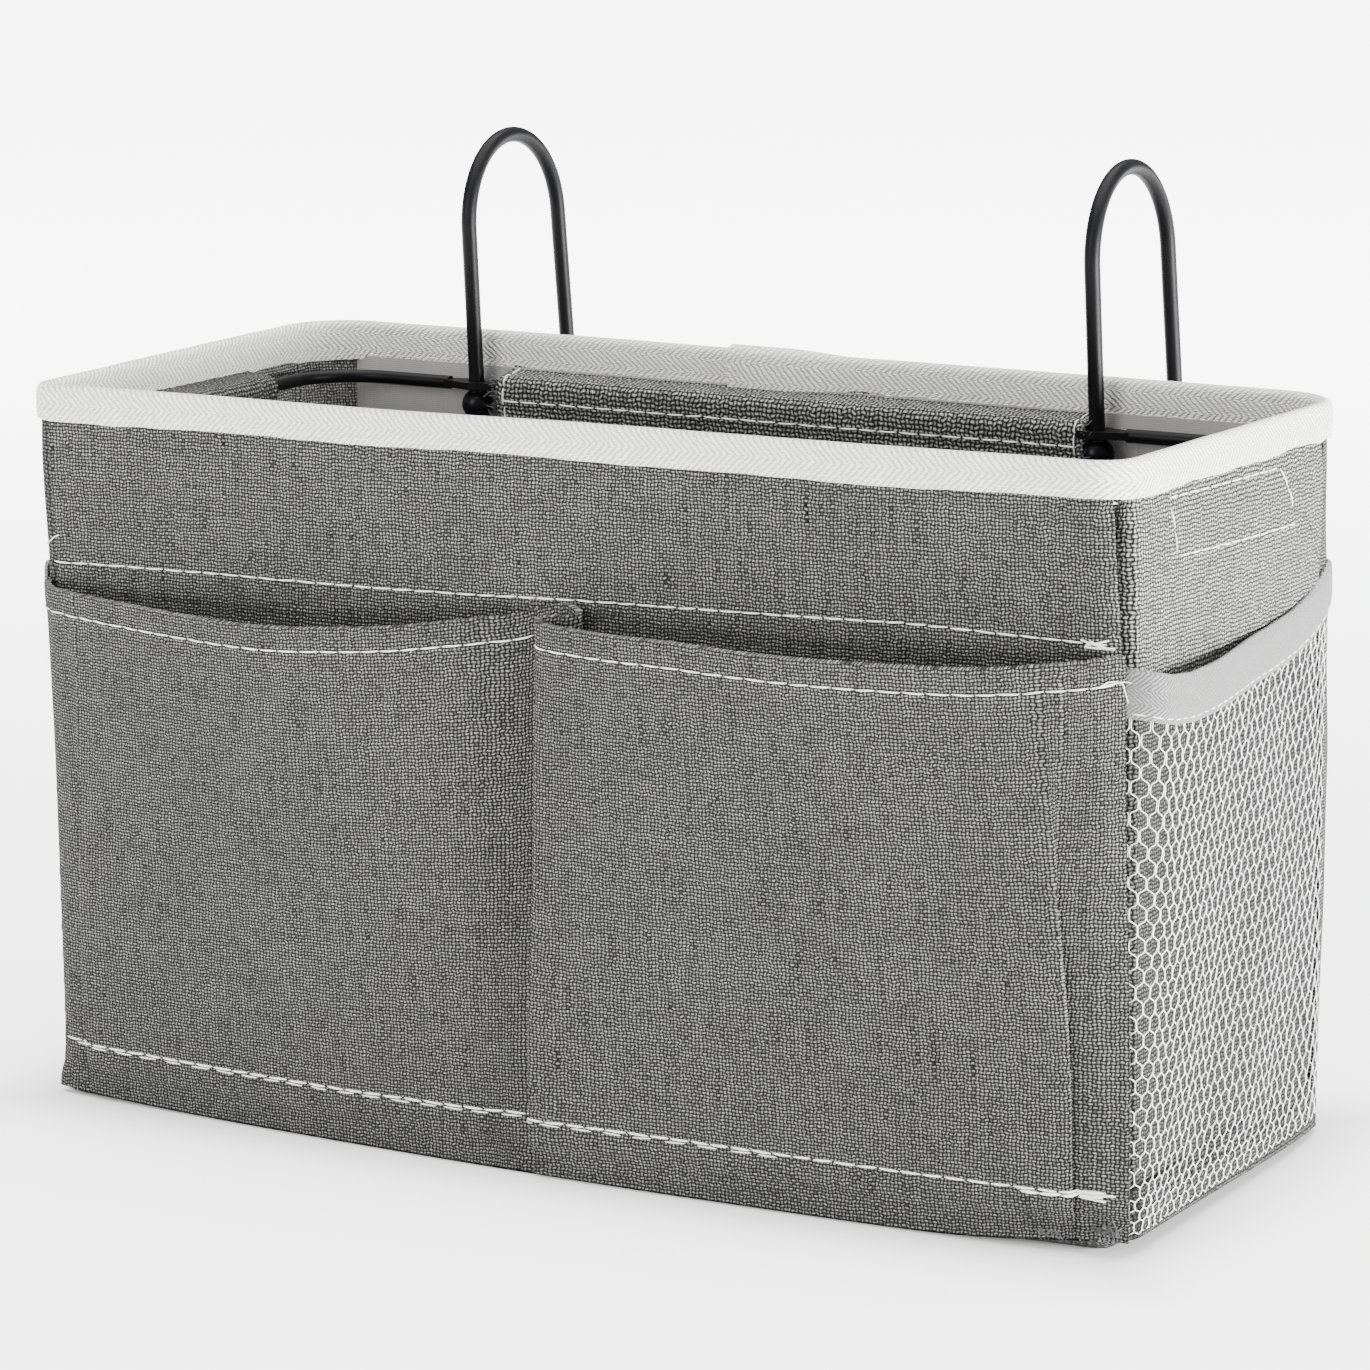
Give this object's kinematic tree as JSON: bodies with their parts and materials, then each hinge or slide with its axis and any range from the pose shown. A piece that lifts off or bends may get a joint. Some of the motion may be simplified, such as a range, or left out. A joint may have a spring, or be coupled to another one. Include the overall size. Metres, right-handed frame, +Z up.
{
  "type": "hanging storage bag",
  "caption": "Open-topped fabric storage bag on a wire frame, with pleated front pockets, mesh side pockets and sliding wire hooks that hang it from a rail.",
  "frame": {"origin": "middle of the underside of the base, between the outer faces of the four walls", "axes": "+X along the bag's width, +Y from the pocketed front towards the back where the hooks are, +Z up"},
  "size_m": [0.2726, 0.1624, 0.2042],
  "materials": {
    "canvas": "grey linen-look canvas",
    "lining": "coated inner side of the canvas",
    "board": "light grey covered board",
    "tape": "off-white herringbone twill",
    "mesh": "white hexagonal knitted mesh",
    "webbing": "coarse dark grey woven webbing",
    "black_wire": "satin black coating",
    "black_ball": "satin black coating"
  },
  "bodies": {
    "bag": {"front_panel": "canvas", "back_panel": "canvas", "left_panel": "canvas", "right_panel": "canvas", "base_panel": "canvas", "back_board": "board", "base_board": "board", "rim_tape": "tape", "front_pockets": "canvas", "mesh_pocket_left": "mesh", "mesh_tape_left": "tape", "mesh_pocket_right": "mesh", "mesh_tape_right": "tape", "wire_frame": "black_wire", "strap_back": "webbing", "strap_left": "webbing", "strap_right": "webbing", "facing_front": "lining"},
    "left_ball": {"hook_ball_left": "black_ball"},
    "left_hook": {"hook_left": "black_wire"},
    "right_ball": {"hook_ball_right": "black_ball"},
    "right_hook": {"hook_right": "black_wire"}
  },
  "joints": [
    {"name": "left_hook_slide", "type": "slide", "parent": "bag", "child": "left_ball", "axis": [-0.0488, 0, 0.9988], "range_m": [-0.033, 0]},
    {"name": "left_hook_swivel", "type": "hinge", "parent": "left_ball", "child": "left_hook", "pos_m": [-0.082, 0.0505, 0.1473], "axis": [-0.0488, 0, 0.9988], "range_deg": [-70, 70]},
    {"name": "right_hook_slide", "type": "slide", "parent": "bag", "child": "right_ball", "axis": [-0.0488, 0, 0.9988], "range_m": [-0.033, 0]},
    {"name": "right_hook_swivel", "type": "hinge", "parent": "right_ball", "child": "right_hook", "pos_m": [0.073, 0.0505, 0.1473], "axis": [-0.0488, 0, 0.9988], "range_deg": [-70, 70]}
  ]
}
